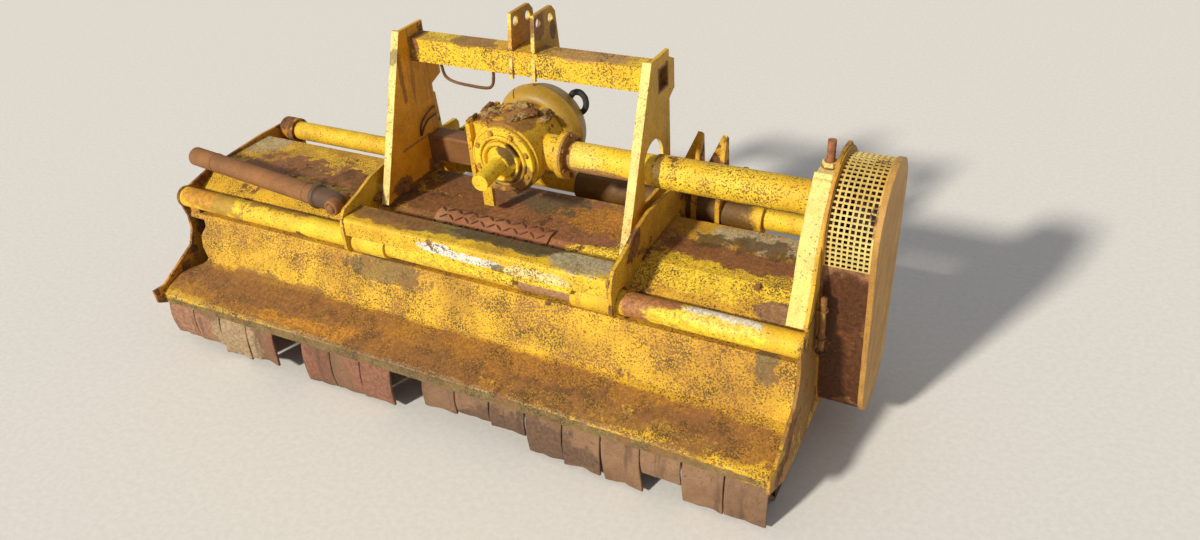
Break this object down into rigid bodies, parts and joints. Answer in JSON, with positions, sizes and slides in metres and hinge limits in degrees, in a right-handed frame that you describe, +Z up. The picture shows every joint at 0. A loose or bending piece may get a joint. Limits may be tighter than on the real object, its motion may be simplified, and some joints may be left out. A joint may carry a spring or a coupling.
{
  "type": "tractor mulcher",
  "caption": "Offset flail mulcher for a tractor: a flail housing on skids, a sliding hitch frame on guide tubes, a gearbox and a guarded belt drive, worn and rusty.",
  "frame": {"origin": "on the ground, under the middle of the whole machine's bounding box", "axes": "+X from the left end plate to the belt guard, +Y forwards to the tractor, +Z up"},
  "size_m": [1.945, 0.811, 0.915],
  "materials": {
    "yellow_paint": "matt, worn",
    "orange_paint": "matt, faded",
    "rusty_steel": "rusty",
    "bare_steel": "dull",
    "worn_rubber": "dusty",
    "olive_plastic": "matt"
  },
  "bodies": {
    "housing": {"end_plate_left": "yellow_paint", "end_plate_right": "yellow_paint", "tower_flange": "yellow_paint", "apron": "yellow_paint", "hood": "yellow_paint", "skid_left": "rusty_steel", "skid_right": "rusty_steel", "near_guide_tube": "yellow_paint", "far_guide_tube": "yellow_paint", "step_plate": "rusty_steel", "rear_flaps": "worn_rubber", "front_flaps": "worn_rubber", "bearing_left": "rusty_steel", "outer_drive_tube": "yellow_paint", "guard_back": "yellow_paint", "guard_mesh": "orange_paint", "guard_band": "orange_paint", "guard_cover": "orange_paint", "drive_belts": "worn_rubber"},
    "headstock": {"frame_plate_left": "yellow_paint", "frame_plate_right": "yellow_paint", "leg_left": "yellow_paint", "leg_right": "yellow_paint", "crossbar": "yellow_paint", "crossbar_hook": "rusty_steel", "top_ears": "yellow_paint", "link_ears_left": "yellow_paint", "link_ears_right": "yellow_paint", "beam": "yellow_paint", "near_sleeve_left": "yellow_paint", "near_sleeve_right": "yellow_paint", "far_sleeve_left": "yellow_paint", "far_sleeve_right": "yellow_paint", "gearbox_case": "yellow_paint", "gearbox_cover": "yellow_paint", "gearbox_mount": "yellow_paint", "gearbox_bracket": "rusty_steel", "inner_drive_tube": "yellow_paint", "pto_shield": "olive_plastic", "pto_shield_ring": "worn_rubber", "shift_strut": "rusty_steel"},
    "rotor": {"rotor_drum": "rusty_steel", "flails": "rusty_steel", "lower_pulley": "yellow_paint"},
    "upper_pulley": {"upper_pulley": "yellow_paint"},
    "pto_shaft": {"pto_shaft": "bare_steel"}
  },
  "joints": [
    {"name": "side_shift", "type": "slide", "parent": "housing", "child": "headstock", "axis": [1, 0, 0], "range_m": [-0.2, 0.16]},
    {"name": "rotor_spin", "type": "hinge", "parent": "housing", "child": "rotor", "pos_m": [-0.0405, 0.0515, 0.202], "axis": [1, 0, 0], "continuous": true},
    {"name": "upper_pulley_spin", "type": "hinge", "parent": "housing", "child": "upper_pulley", "pos_m": [0.8975, 0.0415, 0.599], "axis": [1, 0, 0], "continuous": true},
    {"name": "pto_spin", "type": "hinge", "parent": "headstock", "child": "pto_shaft", "pos_m": [0.0545, 0.1115, 0.599], "axis": [0, 1, 0], "continuous": true}
  ],
  "couplings": [
    {"joint": "upper_pulley_spin", "follows": "rotor_spin", "ratio": 0.76316},
    {"joint": "pto_spin", "follows": "rotor_spin", "ratio": 0.29352}
  ]
}
